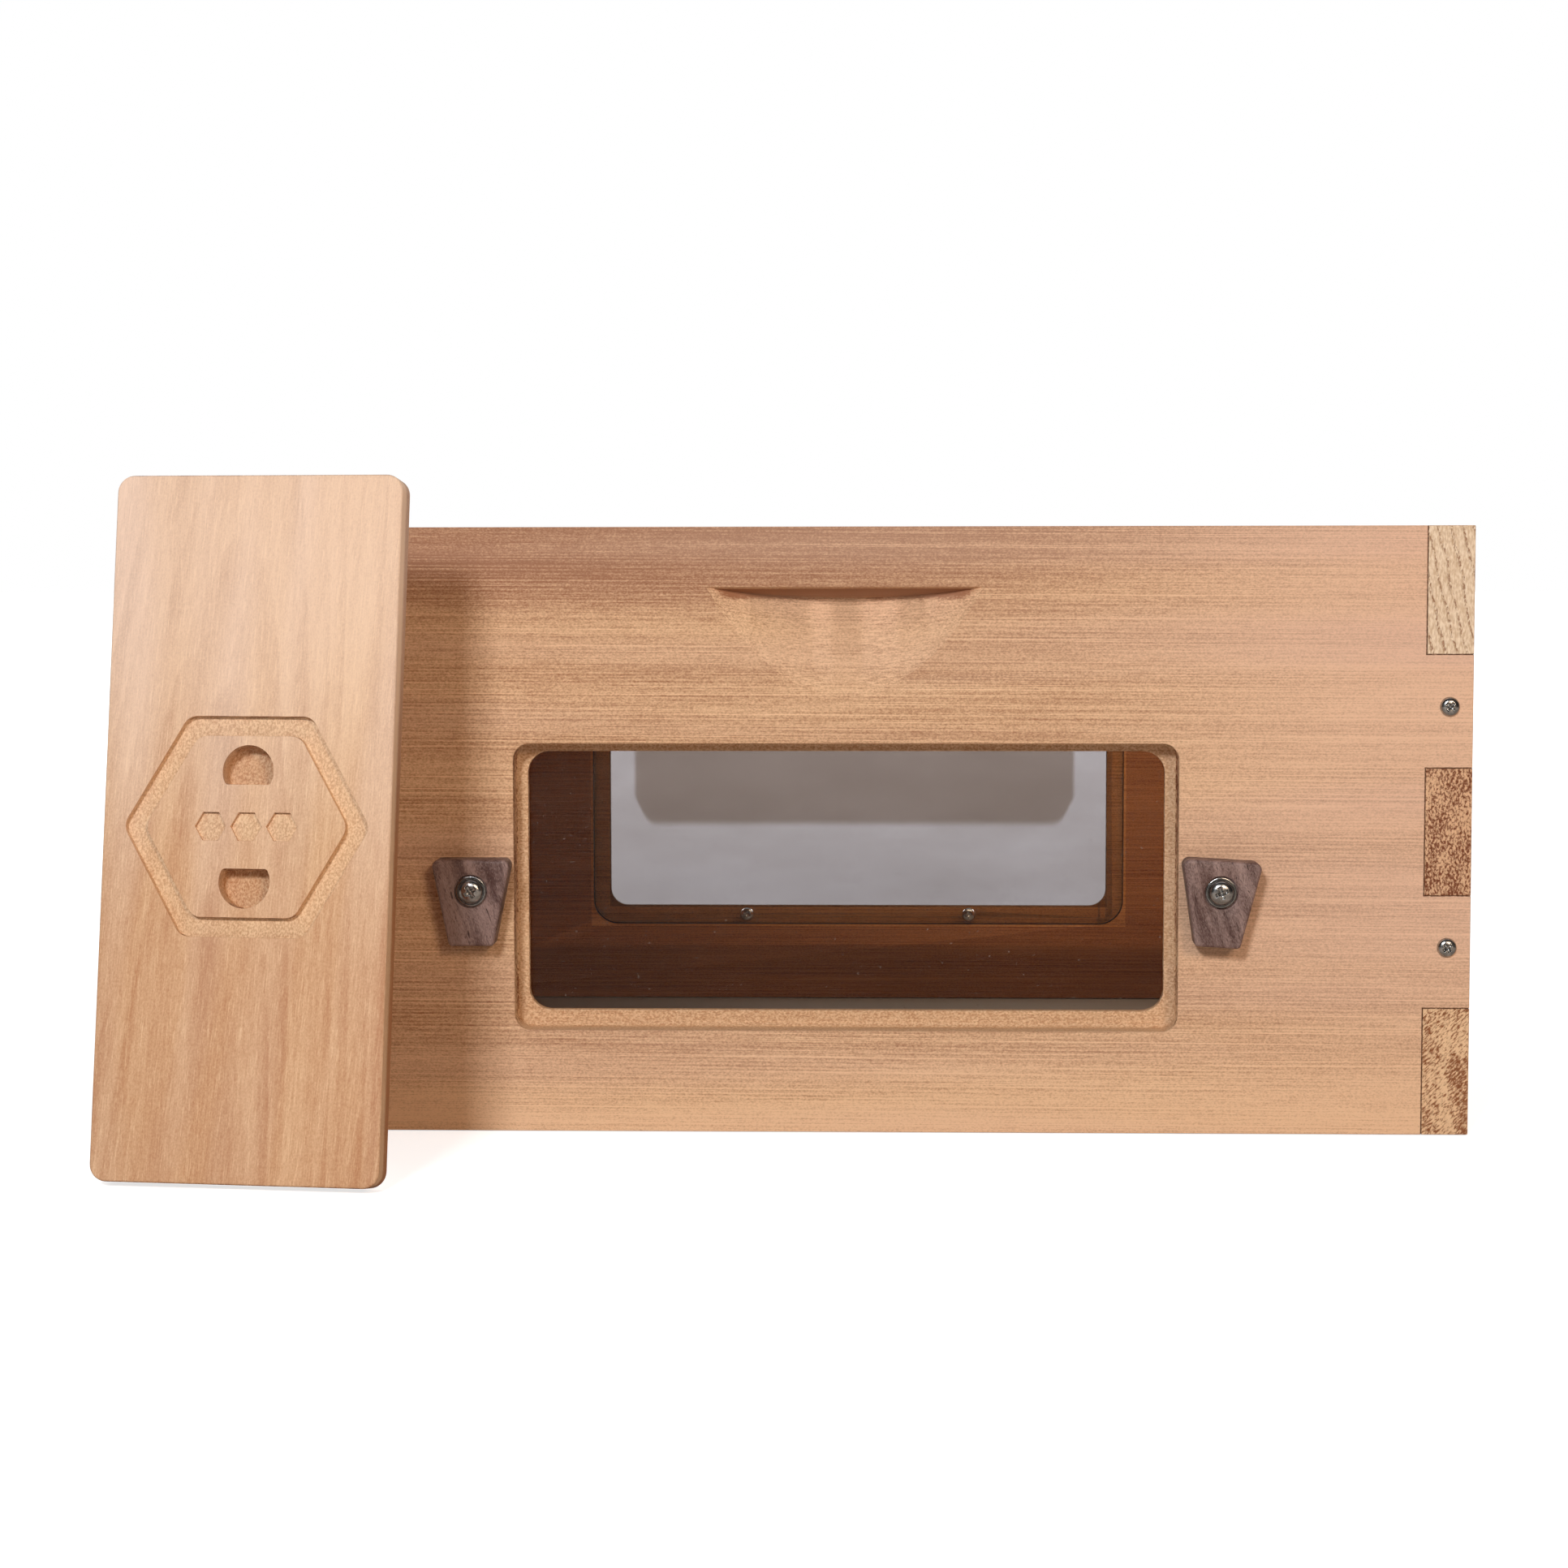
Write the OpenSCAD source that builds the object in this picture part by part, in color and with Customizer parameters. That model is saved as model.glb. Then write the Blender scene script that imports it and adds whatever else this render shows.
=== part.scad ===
// Wooden beehive body with a shuttered observation window on each long side.
// Millimetres. The frame's origin is the centre of the footprint at the bottom rim,
// +X along the long side, -Y out of the front board, +Z up.

/* [Body] */
// length over the front board, left to right
body_l = 508; // [500:0.5:512]
// depth over the end boards, front to back
body_d = 413; // [405:0.5:420]
// height of the body
body_h = 248; // [242:0.5:252]
// thickness of the four boards
board = 19; // [18:0.5:20]
// height of each of an end board's three fingers
end_finger = 52; // [48:0.5:54]

/* [Hand scoops] */
// half width of the straight lip
scoop_half_w = 56.7; // [50:0.1:62]
// height of the lip above the bottom rim
scoop_lip_z = 223.6; // [218:0.1:225]
// radius of the cutter that sweeps the scoop
scoop_r = 115; // [105:1:125]
// tilt of the cutter from upright, in degrees
scoop_tilt = 19.5; // [17:0.5:22]

/* [Window] */
// width of the recess that takes the shutter
recess_w = 271.2; // [266:0.2:274]
// height of the recess
recess_h = 117.8; // [112:0.1:118.4]
// height of the middle of the recess above the bottom rim
window_z = 100.8; // [100:0.05:103]
// height of the middle of the through opening
open_z = 102.35; // [101.5:0.05:103]
// height of the middle of the pane
pane_z = 102.5; // [102:0.05:103.5]
// depth of the recess
recess_d = 12; // [10:0.5:13]
// corner radius of the recess
recess_r = 6.5; // [3:0.5:12]
// width of the through opening
open_w = 261.6; // [250:0.2:264]
// height of the through opening
open_h = 107.3; // [100:0.1:108]
// corner radius of the through opening
open_r = 9; // [4:0.5:14]
// width of the rebate for the pane, on the inside face
pane_w = 279.5; // [272:0.5:281]
// height of the rebate for the pane
pane_h = 127; // [122:0.5:129]
// thickness of the pane
pane_t = 3; // [2:0.5:3.5]
// distance of each pane screw from the middle of the window
pane_screw_x = 58.5; // [40:0.5:80]
// distance of each pane screw above or below the middle of the pane
pane_screw_z = 58.2; // [57.4:0.1:58.6]

/* [Shutters] */
// length of a shutter, the long way of the window
shutter_l = 269.8; // [264:0.1:270.6]
// height of a shutter in its recess
shutter_w = 113; // [108:0.1:116]
// thickness of a shutter
shutter_t = 11.8; // [10:0.1:11.8]
// corner radius of a shutter
shutter_r = 6.5; // [4:0.5:10]
// corner to corner size of the six-sided ornament
hex_size = 97; // [80:1:100]
// width of the ornament's groove
groove_w = 7.5; // [5:0.5:9]
// depth of the ornament's groove
groove_d = 3; // [2:0.5:4]
// depth of the two finger pockets
pocket_d = 8.5; // [6:0.5:9]
// lean of the loose front shutter, in degrees
lean = 9.6; // [5:0.1:14]
// turn of the loose front shutter about the vertical, in degrees
turn = 6.9; // [0:0.1:12]

/* [Turn buttons] */
// distance of a turn button's screw from the middle of the body
latch_x = 152; // [150:0.5:160]
// height of the turn button screws above the bottom rim
latch_z = 100.3; // [90:0.1:104]
// width of a turn button at its wide end
latch_wide = 31.8; // [28:0.1:34]
// width at its narrow end
latch_narrow = 19.1; // [16:0.1:22]
// reach of the wide end from the screw
latch_up = 12.9; // [11:0.1:15]
// reach of the narrow end from the screw
latch_down = 22.4; // [20:0.1:26]
// thickness of a turn button
latch_t = 12; // [9:0.5:13]
// angle the front right turn button rests at, in degrees
right_rest = 3.35; // [0:0.05:8]

/* [Screws] */
// shank radius of the turn button screws
pivot_r = 2; // [1.8:0.05:2.2]
// radial clearance of a turn button on its screw
pivot_gap = 0.06; // [0.02:0.01:0.1]
// head radius of the corner screws
corner_head_r = 4; // [3.5:0.1:4.5]
// shank radius of the corner screws
corner_r = 1.9; // [1.6:0.1:2.1]
// height of each corner screw above the middle of its finger
corner_lift = 1.9; // [0:0.1:4]
// head radius of the pane screws
pane_head_r = 3.6; // [3.2:0.1:4]
// shank radius of the pane screws
pane_screw_r = 1.5; // [1.2:0.1:1.7]

/* [Top bars] */
// length of a top bar over its ears
bar_l = 487; // [484:0.5:488]
// width of a top bar
bar_w = 37; // [35:0.1:37.2]
// distance from one top bar to the next
bar_pitch = 37.4; // [37.3:0.1:37.5]
// thickness of a top bar between its ears
bar_t = 18; // [15:0.5:20]
// thickness of a top bar's ears
ear_t = 10; // [8:0.5:11]
// height of the comb guide under a top bar
guide_h = 8; // [5:0.5:10]

/* [Hidden] */
hx = body_l / 2;
hy = body_d / 2;
inner_x = hx - board;
inner_y = hy - board;
gap_h = (body_h - 3 * end_finger) / 2;
// lower and upper height of each end-board finger
end_fingers = [for (i = [0:2]) [i * (end_finger + gap_h), i * (end_finger + gap_h) + end_finger]];
// lower and upper height of each side-board finger
side_fingers = [for (i = [0:1]) [end_finger + i * (end_finger + gap_h), (i + 1) * (end_finger + gap_h)]];
corner_x = hx - board / 2;
corner_z = [for (f = side_fingers) (f[0] + f[1]) / 2 + corner_lift];
rabbet_d = 10;
rabbet_h = 17;
bar_half = inner_x - 2;
bar_top = body_h - rabbet_h + ear_t;
pivot_hole_r = pivot_r + pivot_gap;
pilot_gap = 0.05;
pivot_bite = 12;
corner_screw_l = 30;
washer_r = 6.2;
washer_t = 1.2;
counterbore_r = 6.8;
counterbore_d = 1.5;
pivot_head_r = 5.1;
pivot_head_h = 2.6;
standing = [-224.9, -104.7 - hy, shutter_l / 2 * cos(lean) + shutter_t * sin(lean)];
bar_fan = [for (i = [0:9]) (i - 4.5) * bar_pitch];

pine = [0.82, 0.66, 0.5];
walnut = [0.36, 0.25, 0.2];
steel = [0.72, 0.72, 0.74];
clear = [0.8, 0.86, 0.88, 0.4];

// Everything on the front is drawn at the front; the back repeats it turned half round.
module at_back() {
    rotate([0, 0, 180]) children();
}

module rounded(w, h, r) {
    square([w - 2 * r, h], center = true);
    square([w, h - 2 * r], center = true);
    for (x = [-1, 1], z = [-1, 1])
        translate([x * (w / 2 - r), z * (h / 2 - r)]) circle(r, $fn = 48);
}

// A rounded rectangle standing in the front wall, from y = from to y = to.
module window_cut(w, h, r, z, from, to) {
    translate([0, to, z]) rotate([90, 0, 0]) linear_extrude(to - from) rounded(w, h, r);
}

// A bore or shank along Y at x and z, from y = from to y = to.
module along_y(x, z, r, from, to, fn = 32) {
    translate([x, to, z]) rotate([90, 0, 0]) cylinder(r = r, h = to - from, $fn = fn);
}

// The scoop is a tilted drum let into the board's face: its end is the flat lip.
module scoop() {
    reach = sqrt(scoop_r * scoop_r - scoop_half_w * scoop_half_w);
    translate([0, -hy, scoop_lip_z]) rotate([-scoop_tilt, 0, 0])
        translate([0, -reach, -140]) cylinder(r = scoop_r, h = 140, $fn = 160);
}

module side_board() {
    difference() {
        union() {
            translate([-inner_x, -hy, 0]) cube([2 * inner_x, board, body_h]);
            for (f = side_fingers)
                translate([-hx, -hy, f[0]]) cube([body_l, board, f[1] - f[0]]);
        }
        scoop();
        window_cut(recess_w, recess_h, recess_r, window_z, -hy - 1, -hy + recess_d);
        window_cut(open_w, open_h, open_r, open_z, -hy, -inner_y + 1);
        window_cut(pane_w, pane_h, 13, pane_z, -inner_y - pane_t, -inner_y + 1);
        for (x = [-1, 1]) {
            along_y(x * latch_x, latch_z, pivot_r + pilot_gap, -hy - 1, -hy + pivot_bite + 1);
            for (z = corner_z)
                along_y(x * corner_x, z, corner_r + pilot_gap, -hy - 1, -inner_y + 1);
            for (z = [-1, 1])
                along_y(x * pane_screw_x, pane_z + z * pane_screw_z,
                    pane_screw_r + pilot_gap, -hy + recess_d + 0.5, -inner_y + 1);
        }
    }
}

module end_board() {
    difference() {
        union() {
            translate([inner_x, -inner_y, 0]) cube([board, 2 * inner_y, body_h]);
            for (f = end_fingers)
                translate([inner_x, -hy, f[0]]) cube([board, body_d, f[1] - f[0]]);
        }
        translate([hx - hy, 0, 0]) rotate([0, 0, 90]) scoop();
        translate([inner_x - 1, -inner_y, body_h - rabbet_h])
            cube([rabbet_d + 1, 2 * inner_y, rabbet_h + 1]);
        for (y = [-1, 1])
            for (z = corner_z)
                along_y(corner_x, z, corner_r + pilot_gap, y * inner_y - 12, y * inner_y + 12);
    }
}

module pane() {
    difference() {
        window_cut(pane_w - 0.6, pane_h - 0.6, 12.7, pane_z, -inner_y - pane_t, -inner_y);
        for (x = [-1, 1])
            for (z = [-1, 1])
                along_y(x * pane_screw_x, pane_z + z * pane_screw_z, pane_screw_r + 0.3,
                    -inner_y - pane_t - 1, -inner_y + 1);
    }
}

// A pan head screw along Y: head, shank and drive, entering at y = face.
module pan_screw(x, z, face, head_r, head_h, r, length) {
    difference() {
        union() {
            translate([x, face, z]) rotate([90, 0, 0]) {
                cylinder(r = head_r, h = head_h * 0.45, $fn = 32);
                translate([0, 0, head_h * 0.45])
                    cylinder(r1 = head_r, r2 = head_r * 0.62, h = head_h * 0.55, $fn = 32);
            }
            along_y(x, z, r, face, face + length);
        }
        for (a = [0, 90])
            translate([x, face - head_h, z]) rotate([0, a, 0])
                cube([head_r * 1.1, head_h * 1.1, head_r * 0.26], center = true);
    }
}

module latch_shape() {
    w = latch_wide / 2;
    n = latch_narrow / 2;
    hull() {
        for (x = [-1, 1]) {
            translate([x * (w - 3.2), latch_up - 3]) circle(3, $fn = 32);
            translate([x * (n - 1.9), 1.8 - latch_down]) circle(1.8, $fn = 32);
        }
    }
}

module latch(x, angle) {
    translate([x, -hy, latch_z]) rotate([0, -angle, 0]) rotate([90, 0, 0])
        difference() {
            linear_extrude(latch_t) latch_shape();
            translate([0, 0, -1]) cylinder(r = pivot_hole_r, h = latch_t + 2, $fn = 32);
            translate([0, 0, latch_t - counterbore_d])
                cylinder(r = counterbore_r, h = counterbore_d + 1, $fn = 48);
        }
}

module latch_washers() {
    seat = -hy - latch_t + counterbore_d;
    for (x = [-1, 1])
        difference() {
            along_y(x * latch_x, latch_z, washer_r, seat - washer_t, seat, 48);
            along_y(x * latch_x, latch_z, pivot_hole_r, seat - washer_t - 1, seat + 1);
        }
}

module latch_screws() {
    seat = -hy - latch_t + counterbore_d - washer_t;
    for (x = [-1, 1])
        pan_screw(x * latch_x, latch_z, seat, pivot_head_r, pivot_head_h, pivot_r,
            latch_t - counterbore_d + washer_t + pivot_bite);
}

module corner_screws() {
    for (x = [-1, 1])
        for (z = corner_z)
            pan_screw(x * corner_x, z, -hy, corner_head_r, 2.2, corner_r, corner_screw_l);
}

// The pane screws go in from the cavity, so a front screw is turned to face it.
module pane_screws() {
    for (x = [-1, 1])
        for (z = [-1, 1])
            translate([0, -2 * inner_y, 0]) rotate([0, 0, 180])
                pan_screw(x * pane_screw_x, pane_z + z * pane_screw_z, -inner_y,
                    pane_head_r, 2, pane_screw_r, pane_t + 3);
}

// A six-sided outline with rounded corners; r is the reach of its sharp corners.
module hexagon(r) {
    offset(r = 6, $fn = 32) circle(r - 6 / cos(30), $fn = 6);
}

// A finger pocket: a disc cut short on the side towards the middle of the shutter.
module pocket_shape() {
    offset(r = 1.5, $fn = 32) intersection() {
        circle(8.5, $fn = 64);
        translate([-9, -3.5]) square([18, 13]);
    }
}

// A shutter lies in X and Z with its outer face at y = 0 and its middle at the origin.
module shutter() {
    difference() {
        translate([0, shutter_t, 0]) rotate([90, 0, 0])
            linear_extrude(shutter_t) rounded(shutter_l, shutter_w, shutter_r);
        rotate([90, 0, 0]) translate([0, 0, -groove_d]) linear_extrude(groove_d + 1)
            rotate(90) difference() {
                hexagon(hex_size / 2);
                hexagon(hex_size / 2 - groove_w / cos(30));
            }
        for (s = [-1, 1])
            rotate([90, 0, 0]) translate([s * 21, 0, -pocket_d]) linear_extrude(pocket_d + 1)
                rotate(-s * 90) pocket_shape();
        for (i = [-1, 0, 1])
            rotate([90, 0, 0]) translate([0, i * 14, -1.6]) linear_extrude(3)
                rotate(30) circle(6.2, $fn = 6);
    }
}

// The front shutter stands loose on its end, leaning back towards the body.
module front_shutter() {
    translate(standing) rotate([0, 0, -turn]) rotate([-lean, 0, 0]) rotate([0, 90, 0]) shutter();
}

// The back shutter lies on its face behind the body, a quarter turn down from its recess.
module back_shutter() {
    translate([0, hy, 0]) rotate([-90, 0, 0]) rotate([0, 0, 180])
        translate([0, 0, window_z]) shutter();
}

module top_bar(i) {
    translate([0, bar_fan[i - 1], 0]) {
        translate([-bar_l / 2, -bar_w / 2, bar_top - ear_t]) cube([bar_l, bar_w, ear_t]);
        translate([-bar_half, -bar_w / 2, bar_top - bar_t]) cube([2 * bar_half, bar_w, bar_t]);
        translate([-bar_half + 18, 0, bar_top - bar_t + 0.5]) rotate([90, 0, 90])
            linear_extrude(2 * bar_half - 36)
                polygon([[-8, 0], [-8, -0.5], [-1, -guide_h], [1, -guide_h], [8, -0.5], [8, 0]]);
    }
}

color(pine) side_board();  // front_board
color(pine) at_back() side_board();  // back_board
color(pine) at_back() end_board();  // left_end_board
color(pine) end_board();  // right_end_board
color(clear) pane();  // front_window_pane
color(clear) at_back() pane();  // back_window_pane
color(steel) pane_screws();  // front_pane_screws
color(steel) at_back() pane_screws();  // back_pane_screws
color(steel) corner_screws();  // front_corner_screws
color(steel) at_back() corner_screws();  // back_corner_screws
color(walnut) latch(-latch_x, 0);  // front_left_latch
color(walnut) latch(latch_x, right_rest);  // front_right_latch
color(walnut) at_back() latch(latch_x, 0);  // back_left_latch
color(walnut) at_back() latch(-latch_x, 0);  // back_right_latch
color(steel) latch_washers();  // front_latch_washers
color(steel) at_back() latch_washers();  // back_latch_washers
color(steel) latch_screws();  // front_latch_screws
color(steel) at_back() latch_screws();  // back_latch_screws
color(pine) front_shutter();  // front_window_shutter
color(pine) back_shutter();  // back_window_shutter
color(pine) top_bar(1);  // top_bar_1
color(pine) top_bar(2);  // top_bar_2
color(pine) top_bar(3);  // top_bar_3
color(pine) top_bar(4);  // top_bar_4
color(pine) top_bar(5);  // top_bar_5
color(pine) top_bar(6);  // top_bar_6
color(pine) top_bar(7);  // top_bar_7
color(pine) top_bar(8);  // top_bar_8
color(pine) top_bar(9);  // top_bar_9
color(pine) top_bar(10);  // top_bar_10
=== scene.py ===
import math
import random

import bmesh
import bpy
from mathutils import Matrix, Vector


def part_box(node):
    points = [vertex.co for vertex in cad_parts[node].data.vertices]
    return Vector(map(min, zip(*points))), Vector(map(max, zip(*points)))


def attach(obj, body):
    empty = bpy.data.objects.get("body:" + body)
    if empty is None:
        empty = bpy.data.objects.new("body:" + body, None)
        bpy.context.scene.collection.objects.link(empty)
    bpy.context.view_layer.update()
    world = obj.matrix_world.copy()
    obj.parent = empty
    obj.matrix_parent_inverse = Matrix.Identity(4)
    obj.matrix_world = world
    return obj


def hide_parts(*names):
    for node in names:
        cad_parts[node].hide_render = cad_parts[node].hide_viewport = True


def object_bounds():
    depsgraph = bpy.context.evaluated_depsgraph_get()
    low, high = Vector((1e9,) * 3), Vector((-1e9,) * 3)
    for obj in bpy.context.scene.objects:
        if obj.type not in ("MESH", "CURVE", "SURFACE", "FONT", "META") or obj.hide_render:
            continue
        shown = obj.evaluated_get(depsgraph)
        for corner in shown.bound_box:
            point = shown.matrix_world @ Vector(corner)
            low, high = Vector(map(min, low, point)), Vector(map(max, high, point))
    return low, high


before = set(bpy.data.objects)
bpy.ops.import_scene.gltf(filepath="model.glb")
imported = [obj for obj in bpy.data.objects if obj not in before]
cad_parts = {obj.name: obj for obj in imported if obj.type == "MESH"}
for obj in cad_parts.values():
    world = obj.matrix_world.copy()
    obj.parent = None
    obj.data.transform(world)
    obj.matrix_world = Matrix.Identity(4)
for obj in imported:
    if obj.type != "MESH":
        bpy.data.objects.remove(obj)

CAD_BOX = [list(corner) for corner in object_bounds()]
MM = 0.001

# in metres: the front face's y, the boards' thickness, half the body's length, and its height
front_low, front_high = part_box("front_board")
FRONT = front_low.y
BOARD = front_high.y - front_low.y
HALF_L = front_high.x
HEIGHT = front_high.z

# from here on in mm: the faces of the side boards, and the lines where their fingers begin
OUTER = -FRONT * 1000
JOINT_X = (HALF_L - BOARD) * 1000
JOINT_Y = (-FRONT - BOARD) * 1000
END_FINGER = 52.0
FINGER_PITCH = 98.0

# the shutter's recess in the outer face, with a little to spare round it
RECESS_X = 138.0
RECESS_LOW = 40.0
RECESS_HIGH = 162.0
RECESS_DEPTH = 12.0

# the pane's rebate in the inner face, with a little to spare round it
REBATE_X = 141.0
REBATE_Z = 102.5
REBATE_HALF_H = 64.5
REBATE_DEPTH = 3.4

# the opening between the two
OPENING_HALF_L = 131.0
OPENING_HALF_H = 54.0
OPENING_Z = 102.35

# the hand scoop, with a little to spare round it
SCOOP_X = 96.0
SCOOP_LOW = 168.0
SCOOP_TOP = 224.0

# a shutter's half sizes, and the depths of its grooves and finger pockets
SHUTTER_HALF_L = 134.9
SHUTTER_HALF_W = 56.5
SHUTTER_HALF_T = 5.9
GROOVE_DEPTH = 3.0
POCKET_DEPTH = 8.5

# a turn button: its screw's place, its reach above and below the screw, half its width at each end, the
# radii of its bore and of the counterbore for its washer, and the counterbore's depth
LATCH_X = 152.0
LATCH_Z = 100.3
LATCH_UP = 12.9
LATCH_DOWN = 22.4
LATCH_HALF_TOP = 15.9
LATCH_HALF_FOOT = 9.55
LATCH_BORE_R = 2.06
LATCH_SINK_R = 6.8
LATCH_SINK = 1.5

# points round a turn button's outline and its bores, and round a screw's head
ROUND = 96


# ---------------------------------------------------------------- node graphs


class Graph:
    """A material's node tree, with short ways to add and link nodes."""

    def __init__(self, name):
        self.material = bpy.data.materials.new(name)
        self.material.use_nodes = True
        self.tree = self.material.node_tree
        self.tree.nodes.clear()

    def feed(self, socket, value):
        if isinstance(value, bpy.types.NodeSocket):
            self.tree.links.new(value, socket)
        else:
            socket.default_value = value

    def node(self, kind, settings=None, **inputs):
        n = self.tree.nodes.new("ShaderNode" + kind)
        for key, value in (settings or {}).items():
            setattr(n, key, value)
        for key, value in inputs.items():
            self.feed(n.inputs[key.replace("_", " ")], value)
        return n

    def math(self, operation, a, b=0.0, c=0.0, clamp=False):
        n = self.node("Math", {"operation": operation, "use_clamp": clamp})
        for socket, value in zip(n.inputs, (a, b, c)):
            self.feed(socket, value)
        return n.outputs[0]

    def vector(self, operation, a, b):
        n = self.node("VectorMath", {"operation": operation})
        self.feed(n.inputs[0], a)
        self.feed(n.inputs[1], b)
        return n.outputs[0]

    def split(self, vector):
        return self.node("SeparateXYZ", Vector=vector).outputs[:]

    def join(self, x, y, z):
        return self.node("CombineXYZ", X=x, Y=y, Z=z).outputs[0]

    def noise(self, vector, size, detail=2.0, rough=0.5, colour=False):
        """Noise whose features are about size (x, y, z) long, in the vector's own units."""
        scaled = self.vector("MULTIPLY", vector, [1 / s for s in size])
        n = self.node("TexNoise", Vector=scaled, Scale=1.0, Detail=detail, Roughness=rough)
        return n.outputs[1 if colour else 0]

    def ramp(self, value, low, high):
        """0 at low, 1 at high, smooth between; low may be above high."""
        n = self.node("MapRange", {"interpolation_type": "SMOOTHSTEP"}, Value=value)
        n.inputs["From Min"].default_value = low
        n.inputs["From Max"].default_value = high
        return n.outputs[0]

    def mix(self, factor, a, b, mode="MIX"):
        n = self.node("Mix", {"data_type": "RGBA", "blend_type": mode})
        self.feed(n.inputs[0], factor)
        self.feed(n.inputs[6], a)
        self.feed(n.inputs[7], b)
        return n.outputs[2]

    def finish(self, shader):
        out = self.node("OutputMaterial")
        self.tree.links.new(shader, out.inputs["Surface"])
        return self.material


def srgb(r, g, b):
    """A linear colour from 0-255 sRGB values."""
    def linear(c):
        c /= 255
        return c / 12.92 if c <= 0.04045 else ((c + 0.055) / 1.055) ** 2.4
    return (linear(r), linear(g), linear(b), 1.0)


# ------------------------------------------------------------------ materials


def growth_rings(g, x, y, z, there, pith, pitch, slope, wander, seed):
    """Late wood as a 0-1 line mask: rings about a pith line along X, a little wavy and uneven."""
    drift = g.split(g.noise(there, (420, 40, 40), 1, 0.4, True))
    ring_y = g.math("MULTIPLY_ADD", drift[0], wander, g.math("MULTIPLY_ADD", x, slope[0], y))
    ring_z = g.math("MULTIPLY_ADD", drift[1], wander, g.math("MULTIPLY_ADD", x, slope[1], z))
    dy = g.math("SUBTRACT", ring_y, pith[0])
    dz = g.math("SUBTRACT", ring_z, pith[1])
    radius = g.math("SQRT", g.math("ADD", g.math("MULTIPLY", dy, dy), g.math("MULTIPLY", dz, dz)))
    uneven = g.noise(g.join(radius, 0.0, seed), (pitch * 5, 1, 1), 1)
    count = g.math("MULTIPLY_ADD", uneven, 2.2, g.math("DIVIDE", radius, pitch))
    phase = g.math("FRACT", count)
    ring = g.math("MULTIPLY", g.ramp(phase, 0.0, 0.8), g.ramp(phase, 1.0, 0.88))
    strength = g.noise(there, (160, 9, 9), 1)
    return g.math("MULTIPLY", ring, g.ramp(strength, 0.3, 0.7))


def sawn_ends(g, across, up, there):
    """The colour and the relief of the boards' sawn ends, which change with height.

    High up they are pale with rows of dark dashes, in the middle dark and granular, and low down slanting.
    """
    wobble = g.math("MULTIPLY", g.math("SUBTRACT", g.noise(there, (9, 9, 14), 2), 0.5), 5.0)
    row = g.math("ADD", g.math("MULTIPLY_ADD", up, -0.22, across), wobble)
    phase = g.math("FRACT", g.math("DIVIDE", row, 4.4))
    dash = g.math("MULTIPLY", g.ramp(phase, 0.0, 0.1), g.ramp(phase, 0.4, 0.12))
    broken = g.ramp(g.noise(there, (0.8, 0.6, 1.5), 2, 0.7), 0.47, 0.55)
    dash = g.math("MULTIPLY", dash, broken)
    grit = g.noise(there, (0.8, 0.8, 2.2), 2, 0.6)
    pale = g.mix(g.ramp(grit, 0.3, 0.7), srgb(214, 184, 152), srgb(246, 224, 198))
    pale = g.mix(g.math("MULTIPLY", dash, 0.8), pale, srgb(146, 96, 62))

    torn = g.noise(there, (0.9, 0.9, 1.3), 3, 0.7)
    patch = g.noise(there, (9, 9, 16), 1)
    torn = g.math("MULTIPLY_ADD", g.math("SUBTRACT", patch, 0.5), 0.3, torn)
    dark = g.mix(g.ramp(torn, 0.4, 0.6), srgb(122, 66, 38), srgb(228, 184, 146))

    lean = g.math("ADD", across, up)
    rise = g.math("SUBTRACT", up, across)
    skew = g.noise(g.join(lean, rise, 5.0), (1.1, 3.4, 1), 3, 0.7)
    skew = g.math("MULTIPLY_ADD", g.math("SUBTRACT", patch, 0.5), 0.35, skew)
    skewed = g.mix(g.ramp(skew, 0.4, 0.58), srgb(142, 86, 52), srgb(238, 200, 160))

    high = g.ramp(up, 170.0, 176.0)
    low = g.ramp(up, 88.0, 74.0)
    colour = g.mix(low, g.mix(high, dark, pale), skewed)
    height = g.math("MULTIPLY_ADD", dash, -1.5, torn)
    return colour, height


def joint_gap(g, along, across, up):
    """The hairline gap round each finger at the body's corners, as a 0-1 mask.

    along and across are distances in mm from the middle of the body, along its long and short sides.
    """
    module = g.math("MULTIPLY", g.math("FRACT", g.math("DIVIDE", up, FINGER_PITCH)), FINGER_PITCH)
    end_zone = g.math("LESS_THAN", module, END_FINGER)
    side_zone = g.math("SUBTRACT", 1.0, end_zone)

    def near(value, line):
        return g.ramp(g.math("ABSOLUTE", g.math("SUBTRACT", value, line)), 0.42, 0.1)

    past_x = g.math("GREATER_THAN", along, JOINT_X - 0.3)
    past_y = g.math("GREATER_THAN", across, JOINT_Y - 0.3)
    inside = g.math("MULTIPLY", g.math("GREATER_THAN", up, 2.0), g.math("LESS_THAN", up, HEIGHT * 1000 - 2))
    level = g.math("MAXIMUM", near(module, END_FINGER), g.math("MAXIMUM", near(module, 0.0),
                                                               near(module, FINGER_PITCH)))
    level = g.math("MULTIPLY", g.math("MULTIPLY", level, inside), g.math("MULTIPLY", past_x, past_y))
    upright = g.math("MULTIPLY", g.math("MULTIPLY", near(along, JOINT_X), end_zone), past_y)
    other = g.math("MULTIPLY", g.math("MULTIPLY", near(across, JOINT_Y), side_zone), past_x)
    return g.math("MAXIMUM", level, g.math("MAXIMUM", upright, other))


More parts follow.
